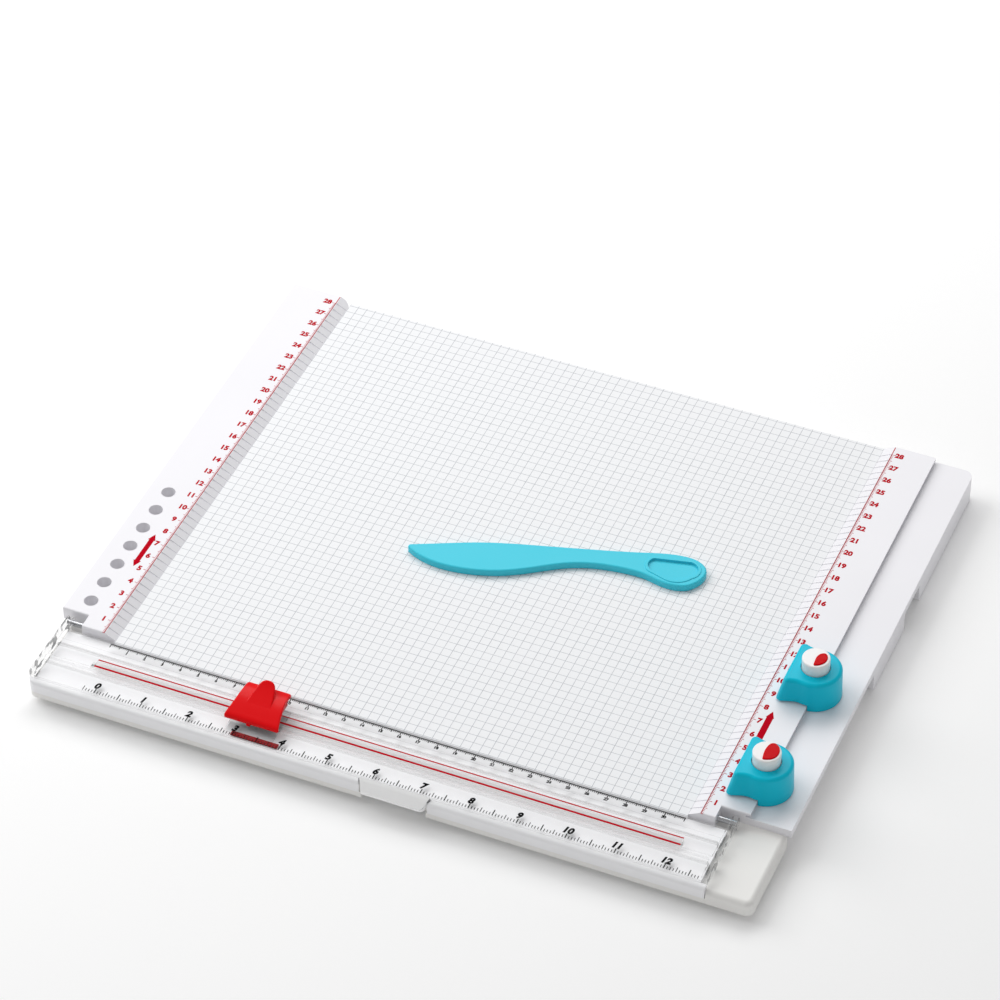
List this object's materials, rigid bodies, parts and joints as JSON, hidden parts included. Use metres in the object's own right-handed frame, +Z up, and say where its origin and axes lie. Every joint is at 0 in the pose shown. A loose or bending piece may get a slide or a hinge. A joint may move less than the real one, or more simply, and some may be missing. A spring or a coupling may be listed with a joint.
{
  "type": "paper trimmer",
  "caption": "Desk paper trimmer with a gridded scoring board, a hinged clear rail with a sliding blade carriage, sliding edge punches and a loose bone folder.",
  "frame": {"origin": "centre of the bounding box, at the bottom of the rubber feet", "axes": "+X along the cutting slot to the right, +Y from the cutting rail to the back, +Z up"},
  "size_m": [0.394, 0.3292, 0.0416],
  "materials": {
    "white_abs": "fine satin moulded ABS",
    "tray_abs": "fine satin moulded ABS",
    "button_abs": "satin moulded ABS",
    "cover_plastic": "moulded sheet",
    "board_plastic": "printed 5 mm grid on a satin face",
    "clear_acrylic": "clear polished acrylic",
    "red_plastic": "moulded acetal",
    "teal_plastic": "semi gloss moulded ABS",
    "red_gloss": "gloss moulded inlay",
    "folder_plastic": "satin moulded plastic",
    "strip_plastic": "soft cutting strip",
    "holder_plastic": "moulded nylon",
    "steel": "ground steel",
    "spring_steel": "spring wire",
    "foot_rubber": "soft rubber"
  },
  "bodies": {
    "base": {"base_tray": "tray_abs", "bottom_cover": "cover_plastic", "cover_screws": "steel", "deck_screws": "steel", "rubber_feet": "foot_rubber", "scoring_board": "board_plastic", "left_bar": "white_abs", "right_bar": "white_abs", "side_ledge": "white_abs", "front_bed": "white_abs", "cutting_strip": "strip_plastic", "hinge_pin_left": "steel", "hinge_pin_right": "steel"},
    "rail": {"clear_rail": "clear_acrylic"},
    "carriage": {"carriage_slider": "red_plastic", "carriage_shoe": "clear_acrylic", "cursor_bar": "red_plastic", "carriage_springs": "spring_steel"},
    "blade_head": {"carriage_shell": "red_plastic", "blade_holder": "holder_plastic", "blade": "steel"},
    "punch_front": {"punch_housing_front": "teal_plastic", "punch_die_front": "steel", "punch_spring_front": "spring_steel"},
    "button_front": {"punch_button_front": "button_abs", "button_inlay_front": "red_gloss", "punch_cutter_front": "steel"},
    "punch_rear": {"punch_housing_rear": "teal_plastic", "punch_die_rear": "steel", "punch_spring_rear": "spring_steel"},
    "button_rear": {"punch_button_rear": "button_abs", "button_inlay_rear": "red_gloss", "punch_cutter_rear": "steel"},
    "folder": {"bone_folder": "folder_plastic"}
  },
  "joints": [
    {"name": "rail_hinge", "type": "hinge", "parent": "base", "child": "rail", "pos_m": [-0.0083, -0.11745, 0.0156], "axis": [-1, 0, 0], "range_deg": [0, 95]},
    {"name": "carriage_slide", "type": "slide", "parent": "rail", "child": "carriage", "axis": [1, 0, 0], "range_m": [-0.0864, 0.2188]},
    {"name": "blade_press", "type": "slide", "parent": "carriage", "child": "blade_head", "axis": [0, 0, -1], "range_m": [0, 0.001], "stiffness_N_per_m": 800, "springref_m": -0.004, "deforming": ["carriage_springs"]},
    {"name": "punch_front_slide", "type": "slide", "parent": "base", "child": "punch_front", "axis": [0, 1, 0], "range_m": [-0.005, 0.017]},
    {"name": "button_front_press", "type": "slide", "parent": "punch_front", "child": "button_front", "axis": [0, 0, -1], "range_m": [0, 0.0036], "stiffness_N_per_m": 600, "springref_m": -0.005, "deforming": ["punch_spring_front"]},
    {"name": "punch_rear_slide", "type": "slide", "parent": "base", "child": "punch_rear", "axis": [0, 1, 0], "range_m": [-0.0165, 0.1655]},
    {"name": "button_rear_press", "type": "slide", "parent": "punch_rear", "child": "button_rear", "axis": [0, 0, -1], "range_m": [0, 0.0036], "stiffness_N_per_m": 600, "springref_m": -0.005, "deforming": ["punch_spring_rear"]},
    {"name": "folder_lift", "type": "slide", "parent": "base", "child": "folder", "axis": [0, 0, 1], "range_m": [0, 0.05]}
  ]
}
